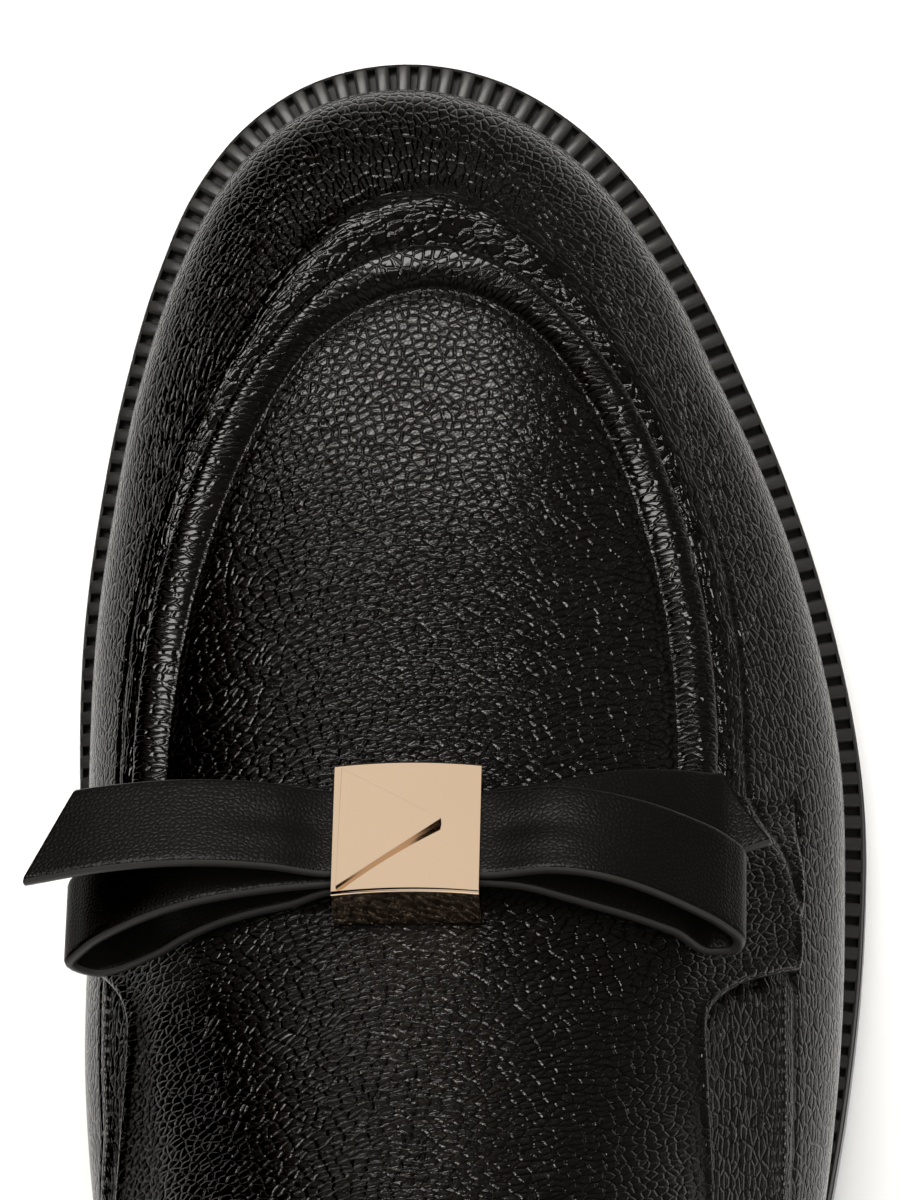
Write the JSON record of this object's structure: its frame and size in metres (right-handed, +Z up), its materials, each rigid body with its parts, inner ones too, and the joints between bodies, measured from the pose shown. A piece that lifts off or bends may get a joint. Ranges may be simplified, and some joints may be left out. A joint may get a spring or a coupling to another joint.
{
  "type": "bow loafer",
  "caption": "Right-foot slip-on loafer with a piped apron toe, a saddle with a long tongue, a leather bow in a pale gold metal knot, and a ribbed rubber welt on a low heeled sole.",
  "frame": {"origin": "on the floor under the middle of the shoe's box", "axes": "+Y towards the toe, +X towards the outer side of the foot, +Z up"},
  "size_m": [0.0995, 0.266, 0.1029],
  "materials": {
    "grained_leather": "tumbled grain, soft sheen",
    "ribbon_leather": "smooth, matte, painted edges",
    "sole_rubber": "satin",
    "lining_leather": "matte",
    "gold_metal": "polished, pale gold plating"
  },
  "bodies": {
    "root": {"outsole": "sole_rubber", "heel": "sole_rubber", "welt": "sole_rubber", "insole": "lining_leather", "upper": "grained_leather", "saddle": "grained_leather", "bow_loop_lateral": "ribbon_leather", "bow_loop_medial": "ribbon_leather", "bow_tail_lateral": "ribbon_leather", "bow_tail_medial": "ribbon_leather", "knot": "gold_metal"}
  },
  "joints": []
}
